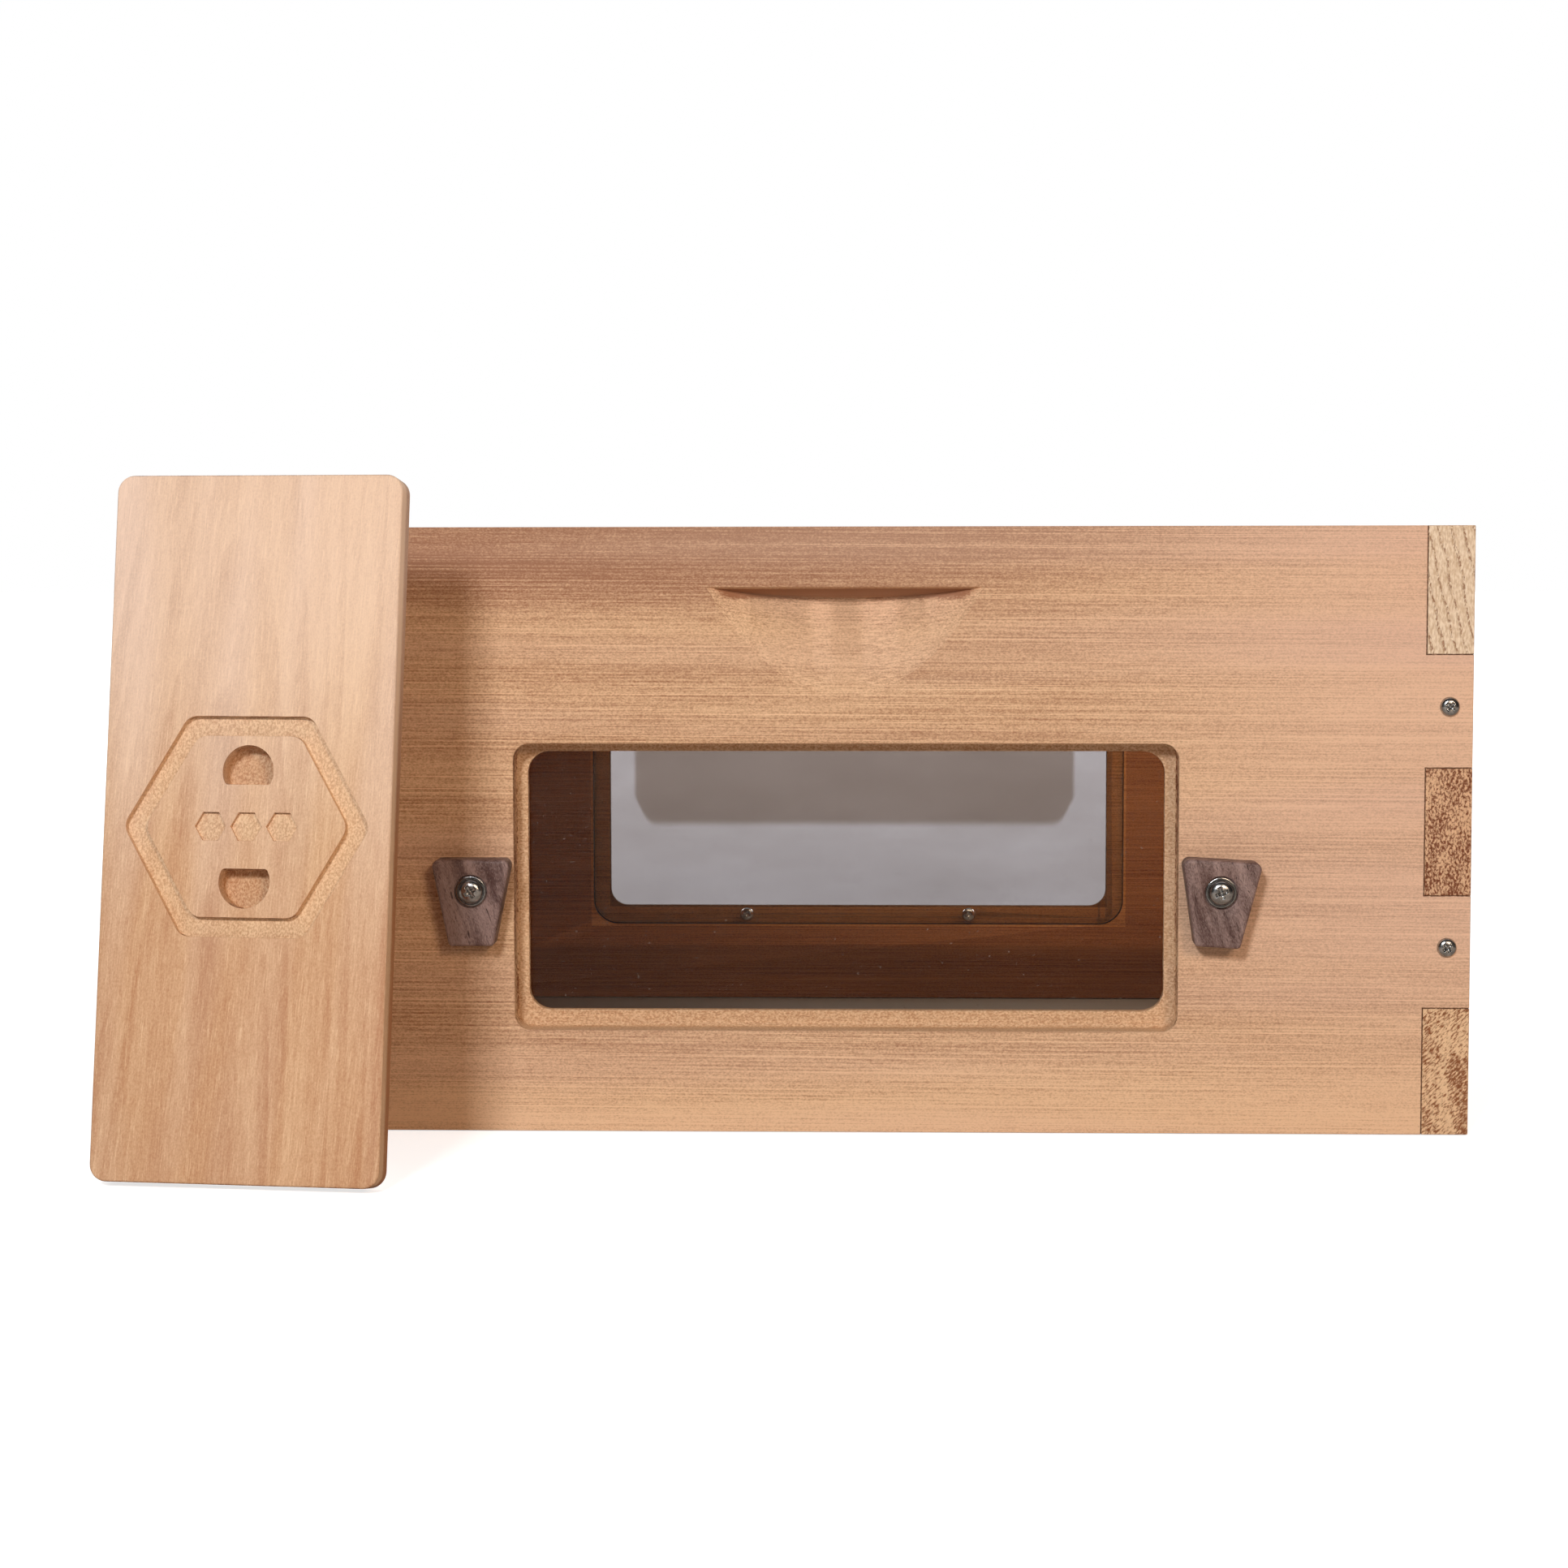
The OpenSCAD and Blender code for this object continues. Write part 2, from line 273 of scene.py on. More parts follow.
def wood(name, tones, pith, pitch, seed, line=0.3, slope=(0.0, 0.0), wander=5.0, fine=1.0, band=0.3,
         routed=None, shade=None, ends="boards", joint_axes=None):
    """Solid wood: growth rings, fibres and flecks, cut by whatever surface the piece has.

    The grain runs along the piece's own X. tones is (dark, light, rosy), pith the ring centre's (y, z) in mm
    and pitch the ring spacing there. slope leans the grain in y and z, and wander is how far the rings stray.
    line is the strength of the rings, fine that of the fibres and flecks, and band that of the broad streaks.
    routed and shade are functions of (graph, x, y, z in mm): routed gives the mask of machined surfaces, and
    shade a change of tone and a share of the rosy colour. ends is "boards" or a (dark, light) pair.
    joint_axes says which of x and y run along the body's long and short side.
    """
    g = Graph(name)
    coordinates = g.node("TexCoord").outputs
    here = g.vector("MULTIPLY", coordinates["Object"], (1000, 1000, 1000))
    x, y, z = g.split(here)
    leaning = g.join(x, g.math("MULTIPLY_ADD", x, slope[0], y), g.math("MULTIPLY_ADD", x, slope[1], z))
    there = g.vector("ADD", leaning, (seed * 37.7, seed * 11.3, seed * 23.9))

    ring = growth_rings(g, x, y, z, there, pith, pitch, slope, wander, seed)
    fibre = g.noise(there, (16, 0.5, 0.5), 3, 0.65)
    lines = g.noise(there, (190, 0.8, 0.8), 3, 0.7)
    speckle = g.noise(there, (0.9, 0.6, 0.6), 1, 0.6)
    streak = g.noise(there, (420, 8, 8), 2, 0.5)
    broad = g.noise(there, (460, 45, 45), 1, 0.5)
    rosy = g.ramp(g.noise(g.vector("ADD", there, (0, 400, 90)), (380, 30, 30), 1, 0.5), 0.42, 0.68)
    glint = g.ramp(g.noise(there, (3.2, 0.4, 0.4), 1, 0.5), 0.62, 0.76)
    silver = g.ramp(g.noise(g.vector("ADD", there, (50, 7, 7)), (240, 0.55, 0.55), 1, 0.4), 0.58, 0.7)

    tone = g.math("MULTIPLY_ADD", ring, -line, 0.56)
    for noise, share in ((fibre, 0.9 * fine), (lines, 1.0 * fine), (speckle, 1.2 * fine), (streak, band),
                         (broad, 0.3)):
        tone = g.math("MULTIPLY_ADD", g.math("SUBTRACT", noise, 0.5), share, tone)
    rosy_share = g.math("MULTIPLY", rosy, 0.3)
    if shade:
        offset, extra = shade(g, x, y, z)
        tone = g.math("ADD", tone, offset)
        rosy_share = g.math("ADD", rosy_share, extra, clamp=True)
    tone = g.math("MULTIPLY_ADD", silver, 0.42 * fine, g.math("MULTIPLY_ADD", glint, 0.24 * fine, tone))
    level = g.ramp(tone, -0.45, 1.15)
    colour = g.mix(level, tones[0], tones[1])
    pink = g.mix(level, [c * 0.62 for c in tones[2][:3]] + [1], tones[2])
    colour = g.mix(rosy_share, colour, pink)
    height = g.math("MULTIPLY_ADD", fibre, 0.8, g.math("MULTIPLY", lines, 0.6))

    if joint_axes:
        # the faces round the cavity carry painted shade: darker and redder, and darkest at their foot as
        # painted shadow; the pane's rebate is painted lighter and warmer, as painted light
        axes = [g.math("ABSOLUTE", (x, y)[k]) for k in joint_axes]
        inner = g.math("MULTIPLY", g.math("LESS_THAN", axes[0], JOINT_X + 0.1),
                       g.math("LESS_THAN", axes[1], JOINT_Y + 0.1))
        rebate = g.math("MULTIPLY", g.math("LESS_THAN", axes[0], REBATE_X),
                        g.math("LESS_THAN", axes[1], JOINT_Y + REBATE_DEPTH))
        from_middle = g.math("ABSOLUTE", g.math("SUBTRACT", z, REBATE_Z))
        rebate = g.math("MULTIPLY", rebate, g.math("LESS_THAN", from_middle, REBATE_HALF_H))
        inner = g.math("MAXIMUM", inner, rebate)
        cavity_shade_and_light = g.mix(g.ramp(z, 30.0, 25.0), (0.9, 0.54, 0.29, 1.0), (0.56, 0.32, 0.17, 1.0))
        # painted light: the pane's rebate is made lighter and warmer
        cavity_shade_and_light = g.mix(rebate, cavity_shade_and_light, (1.3, 0.9, 0.5, 1.0))
        colour = g.mix(inner, colour, g.mix(1.0, colour, cavity_shade_and_light, "MULTIPLY"))
    if routed:
        mask = routed(g, x, y, z)
        fuzz = g.noise(there, (1.0, 0.7, 0.7), 2, 0.6)
        torn = g.mix(g.ramp(fuzz, 0.3, 0.7), srgb(178, 126, 84), srgb(240, 206, 166))
        colour = g.mix(g.math("MULTIPLY", mask, 0.6), colour, torn)
        height = g.math("MULTIPLY_ADD", g.math("MULTIPLY", mask, fuzz), 0.7, height)

    is_end = g.ramp(g.math("ABSOLUTE", g.split(coordinates["Normal"])[0]), 0.72, 0.86)
    if ends == "boards":
        cut, cut_height = sawn_ends(g, y, z, there)
    else:
        cut_height = g.noise(there, (0.8, 0.8, 0.8), 3, 0.7)
        cut = g.mix(g.ramp(g.math("MULTIPLY_ADD", ring, -0.3, cut_height), 0.25, 0.62), ends[0], ends[1])
    colour = g.mix(is_end, colour, cut)
    height = g.math("ADD", g.math("MULTIPLY", height, g.math("SUBTRACT", 1.0, is_end)),
                    g.math("MULTIPLY", cut_height, g.math("MULTIPLY", is_end, 2.0)))
    if joint_axes:
        gap = joint_gap(g, axes[0], axes[1], z)
        ragged = g.ramp(g.noise(there, (1.2, 1.2, 1.2), 2), 0.3, 0.5)
        gap = g.math("MULTIPLY", gap, g.math("MULTIPLY_ADD", ragged, 0.65, 0.2))
        colour = g.mix(gap, colour, srgb(88, 52, 34))
        height = g.math("MULTIPLY_ADD", gap, -1.5, height)

    bump = g.node("Bump", Strength=0.5, Distance=0.0002, Height=height)
    rough = g.math("MULTIPLY_ADD", fibre, 0.2, 0.5)
    shader = g.node("BsdfPrincipled", Base_Color=colour, Roughness=rough, Normal=bump.outputs[0])
    shader.inputs["Specular IOR Level"].default_value = 0.3
    return g.finish(shader.outputs[0])


def walnut(name, seed):
    """Dark purple-brown wood with short open pores, whose grain slants across the piece's own X."""
    g = Graph(name)
    here = g.vector("MULTIPLY", g.node("TexCoord").outputs["Object"], (1000, 1000, 1000))
    there = g.vector("ADD", here, (seed * 19.1, seed * 7.7, seed * 5.3))
    turn = g.node("VectorRotate", {"rotation_type": "Y_AXIS"}, Vector=there, Angle=0.55)
    bend = g.noise(there, (16, 16, 16), 1, 0.5, True)
    swirl = g.vector("ADD", turn.outputs[0], g.vector("MULTIPLY", bend, (6.0, 6.0, 6.0)))
    streak = g.noise(swirl, (26, 1.6, 1.6), 3, 0.6)
    broad = g.noise(swirl, (40, 6, 6), 2, 0.5)
    mottle = g.noise(swirl, (1.2, 0.5, 0.5), 2, 0.6)
    pore = g.ramp(g.noise(swirl, (1.6, 0.3, 0.3), 1, 0.4), 0.6, 0.68)
    fleck = g.ramp(g.noise(g.vector("ADD", swirl, (9, 9, 9)), (1.2, 0.3, 0.3), 1, 0.4), 0.6, 0.72)
    crack = g.ramp(g.noise(g.vector("ADD", swirl, (31, 3, 3)), (16, 0.8, 0.8), 0, 0.4), 0.74, 0.8)
    tone = 0.5
    for noise, share in ((streak, 0.7), (broad, 1.7), (mottle, 0.9)):
        tone = g.math("MULTIPLY_ADD", g.math("SUBTRACT", noise, 0.5), share, tone)
    colour = g.mix(g.ramp(tone, 0.0, 1.0), srgb(80, 54, 50), srgb(160, 134, 128))
    colour = g.mix(g.math("MULTIPLY", fleck, 0.3), colour, srgb(180, 154, 146))
    colour = g.mix(g.math("MULTIPLY", pore, 0.5), colour, srgb(62, 42, 38))
    colour = g.mix(g.math("MULTIPLY", crack, 0.8), colour, srgb(44, 24, 18))
    height = g.math("MULTIPLY_ADD", pore, -0.8, g.math("MULTIPLY", mottle, 0.8))
    height = g.math("MULTIPLY_ADD", crack, -1.5, height)
    bump = g.node("Bump", Strength=0.5, Distance=0.00025, Height=height)
    shader = g.node("BsdfPrincipled", Base_Color=colour, Normal=bump.outputs[0],
                    Roughness=g.math("MULTIPLY_ADD", pore, 0.25, 0.48))
    shader.inputs["Specular IOR Level"].default_value = 0.35
    return g.finish(shader.outputs[0])


def steel(name, seed, tint=(0.5, 0.49, 0.48, 1.0)):
    """Bright stainless steel with turning marks and faint stains, and painted shade in its hollows."""
    g = Graph(name)
    here = g.vector("MULTIPLY", g.node("TexCoord").outputs["Object"], (1000, 1000, 1000))
    there = g.vector("ADD", here, (seed * 3.1, seed * 8.3, seed * 2.9))
    stain = g.noise(there, (2.0, 2.0, 2.0), 3, 0.6)
    scratch = g.noise(there, (0.16, 3.0, 0.16), 2, 0.6)
    colour = g.mix(g.ramp(stain, 0.35, 0.65), [c * 0.6 for c in tint[:3]] + [1], tint)
    # painted shade: the hollows are darkened nearly to black
    hollow_shade = g.ramp(g.node("NewGeometry").outputs["Pointiness"], 0.47, 0.4)
    colour = g.mix(g.math("MULTIPLY", hollow_shade, 0.8), colour, (0.06, 0.055, 0.05, 1))
    rough = g.math("MULTIPLY_ADD", stain, 0.16, g.math("MULTIPLY_ADD", scratch, 0.1, 0.1))
    bump = g.node("Bump", Strength=0.25, Distance=0.00006, Height=scratch)
    shader = g.node("BsdfPrincipled", Base_Color=colour, Metallic=1.0, Roughness=rough,
                    Normal=bump.outputs[0])
    return g.finish(shader.outputs[0])


def clear_sheet(name, seed, passing, stain=None):
    """A clear sheet with faint smears, dust and dark edges, that lets light straight through.

    passing is the share of the light that one face lets in. stain is a function of (graph, x, y, z in mm)
    to the colour one face gives to what is seen through it. The back sheet's holds a painted reflection.
    """
    g = Graph(name)
    coordinates = g.node("TexCoord").outputs
    here = g.vector("MULTIPLY", coordinates["Object"], (1000, 1000, 1000))
    there = g.vector("ADD", here, (seed * 71.0, 0.0, seed * 13.0))
    smear = g.noise(there, (70, 70, 26), 3, 0.6)
    dust = g.ramp(g.noise(there, (1.6, 1.6, 1.6), 0), 0.78, 0.84)
    clear = g.mix(g.ramp(smear, 0.3, 0.7), (0.9, 0.89, 0.88, 1), (0.94, 0.935, 0.93, 1))
    if stain:
        clear = g.mix(1.0, clear, stain(g, *g.split(here)), "MULTIPLY")
    direct = g.node("LightPath").outputs["Is Camera Ray"]
    through = g.node("BsdfTransparent", Color=g.mix(direct, (passing, passing, passing, 1), clear))
    gloss = g.node("BsdfGlossy", {"distribution": "GGX"}, Color=(1, 1, 1, 1),
                   Roughness=g.math("MULTIPLY_ADD", smear, 0.1, 0.02))
    facing = g.node("Fresnel", IOR=1.49).outputs[0]
    sheet = g.node("MixShader")
    g.feed(sheet.inputs[0], g.math("MULTIPLY", facing, 0.3))
    g.feed(sheet.inputs[1], through.outputs[0])
    g.feed(sheet.inputs[2], gloss.outputs[0])
    mote = g.node("BsdfDiffuse", Color=(0.6, 0.56, 0.52, 1))
    dusty = g.node("MixShader")
    g.feed(dusty.inputs[0], g.math("MULTIPLY", dust, 0.16))
    g.feed(dusty.inputs[1], sheet.outputs[0])
    g.feed(dusty.inputs[2], mote.outputs[0])
    edge = g.node("BsdfPrincipled", Base_Color=srgb(40, 30, 27), Roughness=0.45)
    both = g.node("MixShader")
    is_face = g.ramp(g.math("ABSOLUTE", g.split(coordinates["Normal"])[1]), 0.3, 0.6)
    g.feed(both.inputs[0], is_face)
    g.feed(both.inputs[1], edge.outputs[0])
    g.feed(both.inputs[2], dusty.outputs[0])
    return g.finish(both.outputs[0])


# --------------------------------------------------------------- mesh helpers


def link(name, mesh, matrix, material, body, sharp=38):
    """Makes an object of a mesh given in the matrix's own frame, riding on a body.

    Faces square to that frame are shaded flat, and the rest smooth up to an angle of sharp degrees.
    """
    mesh.materials.clear()
    mesh.materials.append(material)
    for polygon in mesh.polygons:
        polygon.use_smooth = max(abs(c) for c in polygon.normal) < 0.99999
    mesh.set_sharp_from_angle(angle=math.radians(sharp))
    piece = bpy.data.objects.new(name, mesh)
    bpy.context.scene.collection.objects.link(piece)
    piece.matrix_world = matrix
    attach(piece, body)
    return piece


def soften(node, name, body, material, matrix, rules):
    """A copy of a CAD node with its edges eased, standing for the node.

    rules is a list of (width in mm, segments, test), where test is a function of an edge's middle in mm and
    of the edge. The rules are applied in turn, each to the sharp edges that pass its test.
    """
    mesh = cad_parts[node].data.copy()
    mesh.name = name
    bm = bmesh.new()
    bm.from_mesh(mesh)
    bmesh.ops.remove_doubles(bm, verts=bm.verts, dist=2e-6)
    bmesh.ops.dissolve_limit(bm, angle_limit=0.012, verts=bm.verts, edges=bm.edges)
    for width, segments, test in rules:
        chosen = []
        for edge in bm.edges:
            if len(edge.link_faces) != 2:
                continue
            angle = edge.calc_face_angle(0.0)
            middle = (edge.verts[0].co + edge.verts[1].co) / 2
            if angle > math.radians(38) and test(middle * 1000, edge):
                chosen.append(edge)
        if chosen:
            bmesh.ops.bevel(bm, geom=chosen, offset=width * MM, offset_type="OFFSET", segments=segments,
                            profile=0.5, affect="EDGES", clamp_overlap=False, loop_slide=True)
    bmesh.ops.transform(bm, matrix=matrix.inverted(), verts=bm.verts)
    bm.normal_update()
    for layer in list(bm.loops.layers.uv.values()):
        bm.loops.layers.uv.remove(layer)
    clean = bpy.data.meshes.new(name)
    bm.to_mesh(clean)
    bm.free()
    bpy.data.meshes.remove(mesh)
    piece = link(name, clean, matrix, material, body, 16)
    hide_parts(node)


def turned(bm, profile, segments, place):
    """Adds a lathe-turned skin and gives back its rings of vertices.

    profile is a list of (radius, height) pairs, and place carries the skin where it goes.
    """
    rings = []
    for r, h in profile:
        if r < 1e-7:
            rings.append([bm.verts.new(place @ Vector((0, 0, h)))])
            continue
        ring = []
        for i in range(segments):
            a = 2 * math.pi * i / segments
            ring.append(bm.verts.new(place @ Vector((r * math.cos(a), r * math.sin(a), h))))
        rings.append(ring)
    for lower, upper in zip(rings, rings[1:]):
        for i in range(segments):
            j = (i + 1) % segments
            corners = [lower[i % len(lower)], lower[j % len(lower)], upper[j % len(upper)],
                       upper[i % len(upper)]]
            unique = list(dict.fromkeys(corners))
            if len(unique) > 2:
                bm.faces.new(unique)
    return rings


def screw(bm, place, head_r, head_h, shank_r, length, turn):
    """A pan head with a cross recess, on a threaded shank. The head rises along the place's +Z."""
    steps, segments = 26, ROUND

    def height(x, y):
        r = min(1.0, math.hypot(x, y) / head_r)
        top = head_h * (1 - r ** 3.2) ** 0.5
        u = x * math.cos(turn) + y * math.sin(turn)
        v = y * math.cos(turn) - x * math.sin(turn)
        sink = 0.0
        for a, b in ((u, v), (v, u)):
            across = (abs(a) - 0.08 * head_r) / (0.09 * head_r)
            along = (abs(b) - 0.4 * head_r) / (0.14 * head_r)
            inside = 1 - min(1.0, max(0.0, max(across, along)))
            sink = max(sink, inside * inside * (3 - 2 * inside))
        core = max(0.0, 1 - math.hypot(x, y) / (0.3 * head_r))
        return top - head_h * (0.5 * sink + 0.35 * core)

    rings = [[bm.verts.new(place @ Vector((0, 0, height(0, 0))))]]
    for k in range(1, steps + 1):
        r = head_r * (k / steps) ** 0.9
        ring = []
        for i in range(segments):
            a = 2 * math.pi * i / segments
            x, y = r * math.cos(a), r * math.sin(a)
            ring.append(bm.verts.new(place @ Vector((x, y, height(x, y)))))
        rings.append(ring)
    for inner, outer in zip(rings, rings[1:]):
        for i in range(segments):
            j = (i + 1) % segments
            corners = [inner[i % len(inner)], outer[i], outer[j], inner[j % len(inner)]]
            bm.faces.new(list(dict.fromkeys(corners)))
    profile = [(shank_r, 0.0)]
    pitch = 1.1 * MM
    turns = int((length - 2 * MM) / pitch)
    for k in range(turns):
        low = -k * pitch
        profile += [(shank_r * 0.8, low - 0.2 * pitch), (shank_r * 0.8, low - 0.6 * pitch),
                    (shank_r * 0.995, low - 0.9 * pitch)]
    profile += [(shank_r * 0.7, -length + 1.2 * MM), (0.0, -length)]
    neck = turned(bm, [(r, h) for r, h in reversed(profile)], 24, place)[-1]
    share = segments // len(neck)
    for i, vertex in enumerate(neck):
        outer = [rings[-1][(share * i + k) % segments] for k in range(share + 1)]
        bm.faces.new([vertex, *outer, neck[(i + 1) % len(neck)]])


def facing(point, out):
    """A placement at a point whose +Z looks along out."""
    turn = Vector((0, 0, 1)).rotation_difference(Vector(out)).to_matrix().to_4x4()
    return Matrix.Translation(Vector(point)) @ turn


def solids(node):
    """The box of each separate solid in a CAD node, as (low corner, high corner) pairs."""
    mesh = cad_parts[node].data
    bm = bmesh.new()
    bm.from_mesh(mesh)
    bmesh.ops.remove_doubles(bm, verts=bm.verts, dist=2e-6)
    left, boxes = set(bm.verts), []
    while left:
        stack, island = [left.pop()], []
        while stack:
            v = stack.pop()
            island.append(v)
            for e in v.link_edges:
                w = e.other_vert(v)
                if w in left:
                    left.remove(w)
                    stack.append(w)
        low = Vector([min(v.co[k] for v in island) for k in range(3)])
        high = Vector([max(v.co[k] for v in island) for k in range(3)])
        boxes.append((low, high))
    bm.free()
    return sorted(boxes, key=lambda b: (round(b[0].x, 4), round(b[0].y, 4), round(b[0].z, 4)))


# ------------------------------------------------------------------- the wood

TAN = (srgb(150, 94, 58), srgb(240, 200, 160), srgb(234, 192, 166))
PALE = (srgb(182, 120, 78), srgb(246, 210, 170), srgb(250, 220, 202))
PLAIN_ENDS = (srgb(134, 84, 56), srgb(222, 182, 146))


def window_routing(side):
    """The mask of the machined recess and its ledge, for the board on that side."""
    def mask(g, x, y, z):
        depth = g.math("MULTIPLY_ADD", y, side, -OUTER)
        deep = g.ramp(depth, -0.9, -1.6)
        near = g.ramp(depth, -16.0, -15.0)
        wide = g.ramp(g.math("ABSOLUTE", x), RECESS_X, RECESS_X - 1)
        low = g.ramp(z, RECESS_LOW, RECESS_LOW + 1)
        high = g.ramp(z, RECESS_HIGH, RECESS_HIGH - 1)
        whole = g.math("MULTIPLY", g.math("MULTIPLY", deep, near), g.math("MULTIPLY", wide, low))
        return g.math("MULTIPLY", whole, high)
    return mask


def front_shade(g, x, y, z):
    """Darker and redder at the upper left, partly heartwood and partly painted shade. Paler sapwood at the
    right, and paler towards the bottom.

    The scoop is paler, and the corner under its lip is painted dark, as the lip's painted shadow.
    """
    # the upper left is darker and redder: partly heartwood, partly painted shade
    heartwood_and_shade = g.math("MULTIPLY", g.ramp(z, 206.0, 236.0), g.ramp(x, 210.0, -20.0))
    pale = g.math("MULTIPLY", g.ramp(x, 60.0, 250.0), g.ramp(z, -120.0, 200.0))
    offset = g.math("MULTIPLY_ADD", heartwood_and_shade, -0.5, g.math("MULTIPLY_ADD", pale, 0.26, -0.1))
    offset = g.math("MULTIPLY_ADD", g.ramp(z, 45.0, 5.0), 0.42, offset)
    depth = g.math("SUBTRACT", OUTER, g.math("ABSOLUTE", y))
    tall = g.math("MULTIPLY", g.ramp(z, SCOOP_LOW, SCOOP_LOW + 1), g.ramp(z, SCOOP_TOP, SCOOP_TOP - 0.2))
    cut = g.math("MULTIPLY", g.ramp(g.math("ABSOLUTE", x), SCOOP_X, SCOOP_X - 1), tall)
    scoop = g.math("MULTIPLY", cut, g.ramp(depth, 0.05, 0.25))
    # painted shadow: the corner under the scoop's lip is darkened as the lip's shadow
    lip_shadow = g.math("MULTIPLY", scoop, g.math("MULTIPLY", g.ramp(depth, 1.0, 5.0), g.ramp(z, 217.0, 222.0)))
    offset = g.math("MULTIPLY_ADD", scoop, g.math("MULTIPLY_ADD", heartwood_and_shade, 0.3, 0.14), offset)
    offset = g.math("MULTIPLY_ADD", lip_shadow, -1.8, offset)
    return offset, g.math("MULTIPLY_ADD", heartwood_and_shade, 0.25, g.math("MULTIPLY", pale, 0.7))


def shutter_shade(g, x, y, z):
    """Paler and pinker towards the shutter's upper end, and darker and more orange towards its lower end.

    The grooves' fresh cut is paler, and the pockets' floors are darker, as painted shade.
    """
    low = g.ramp(x, 110.0, -70.0)
    offset = g.math("MULTIPLY_ADD", low, -0.42, 0.14)
    # painted shade on the pockets' floors
    pocket = g.ramp(y, -2.0, 2.0)
    groove = g.math("SUBTRACT", g.ramp(y, -5.4, -4.6), pocket)
    offset = g.math("MULTIPLY_ADD", pocket, -0.5, g.math("MULTIPLY_ADD", groove, 0.4, offset))
    return offset, g.math("MULTIPLY_ADD", low, -0.7, 0.5)


IDENTITY = Matrix.Identity(4)
QUARTER = Matrix.Rotation(math.radians(90), 4, "Z")

front_wood = wood("front_board_wood", TAN, (-400, -330), 1.5, 1, line=0.26, slope=(0.0, 0.006),
                  routed=window_routing(-1), shade=front_shade, joint_axes=(0, 1))
back_wood = wood("back_board_wood", TAN, (420, -300), 1.8, 2, line=0.32, wander=7.0,
                 routed=window_routing(1), joint_axes=(0, 1))
right_wood = wood("right_end_wood", TAN, (-64, 190), 6.5, 3, line=0.25, joint_axes=(1, 0))
left_wood = wood("left_end_wood", TAN, (70, 60), 5.5, 4, line=0.25, joint_axes=(1, 0))


def board_rules(side_board):
    """Which edges of a board are eased, and how much."""
    floor = OUTER - RECESS_DEPTH

    def in_window(p):
        return abs(p.x) < RECESS_X and RECESS_LOW < p.z < RECESS_HIGH + 4

    # on the recess's floor, the edges against its walls lie outside this box and the opening's inside it
    def cove(p, edge):
        by_wall = abs(p.x) > 133 or p.z < 46 or p.z > 157
        return ledge(p, edge) and p.z > 41 and by_wall

    def rim(p, edge):
        return side_board and in_window(p) and abs(abs(p.y) - OUTER) < 0.05

    def ledge(p, edge):
        return side_board and in_window(p) and abs(abs(p.y) - floor) < 0.05

    def outside(p, edge):
        a, b = edge.verts[0].co * 1000, edge.verts[1].co * 1000
        if (a - b).length < 15:
            return False
        gaps = (abs(p.x) - HALF_L * 1000, abs(p.y) - OUTER, p.z, p.z - HEIGHT * 1000)
        on_box = min(abs(gap) for gap in gaps) < 0.05
        scoop = 170 < p.z < 226 and (abs(p.x) < 60 or abs(p.y) < 60)
        return on_box and not in_window(p) and not scoop

    return [(1.8, 6, cove), (0.5, 3, rim), (0.5, 3, ledge), (0.4, 3, outside)]


soften("front_board", "front_board_piece", "hive_body", front_wood, IDENTITY, board_rules(True))
soften("back_board", "back_board_piece", "hive_body", back_wood, IDENTITY, board_rules(True))
soften("right_end_board", "right_end_piece", "hive_body", right_wood, QUARTER, board_rules(False))
soften("left_end_board", "left_end_piece", "hive_body", left_wood, QUARTER, board_rules(False))

for number in range(1, 11):
    shade = random.Random(number).uniform(-10, 8)
    tones = (srgb(176 + shade, 128 + shade, 90 + shade), srgb(222 + shade, 184 + shade, 142 + shade),
             srgb(202 + shade, 150 + shade, 118 + shade))
    bar_low, bar_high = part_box(f"top_bar_{number}")
    pith_y = (bar_low.y + bar_high.y) * 500 + random.Random(number + 50).uniform(-60, 60)
    material = wood(f"top_bar_{number}_wood", tones, (pith_y, 150 - 9 * number), 3.0 + 0.2 * number,
                    10 + number, line=0.4, ends=PLAIN_ENDS)
    soften(f"top_bar_{number}", f"top_bar_{number}_piece", f"top_bar_{number}", material,
           IDENTITY, [(0.5, 2, lambda p, edge: edge.calc_length() > 0.012)])


# --------------------------------------------------------------- the shutters


def shutter_frame(node):
    """The placement whose X runs along a shutter, -Y out of its outer face, and origin in its middle."""
    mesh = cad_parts[node].data
    area = {}
    for polygon in mesh.polygons:
        key = (*(round(c, 3) for c in polygon.normal), round(polygon.center.dot(polygon.normal), 4))
        area[key] = area.get(key, 0.0) + polygon.area
    # the plain inner face is the largest single plane of a shutter
    inward = Vector(max(area, key=area.get)[:3]).normalized()
    points = [v.co for v in mesh.vertices]
    middle = Vector([(min(p[k] for p in points) + max(p[k] for p in points)) / 2 for k in range(3)])
    longest, along = 0.0, None
    for polygon in mesh.polygons:
        n = polygon.normal
        if abs(n.dot(inward)) < 0.01:
            for i, a in enumerate(polygon.vertices):
                b = polygon.vertices[(i + 1) % len(polygon.vertices)]
                d = mesh.vertices[b].co - mesh.vertices[a].co
                if d.length > longest and abs(d.normalized().dot(inward)) < 0.01:
                    longest, along = d.length, d.normalized()
    if along.z < -0.5:
        along = -along
    extent = [(p - middle).dot(inward) for p in points]
    middle = middle + inward * (min(extent) + max(extent)) / 2
    up = along.cross(inward)
    turn = Matrix((along, inward, up)).transposed().to_4x4()
    return Matrix.Translation(middle) @ turn


def shutter_routing(g, x, y, z):
    """The mask of a shutter's machined grooves: below the outer face and away from the rim."""
    deep = g.ramp(y, -5.2, -4.6)
    above = g.ramp(y, 5.6, 5.2)
    inside = g.math("MULTIPLY", g.ramp(g.math("ABSOLUTE", x), 60.0, 59.0),
                    g.ramp(g.math("ABSOLUTE", z), 53.0, 52.0))
    return g.math("MULTIPLY", g.math("MULTIPLY", deep, above), inside)


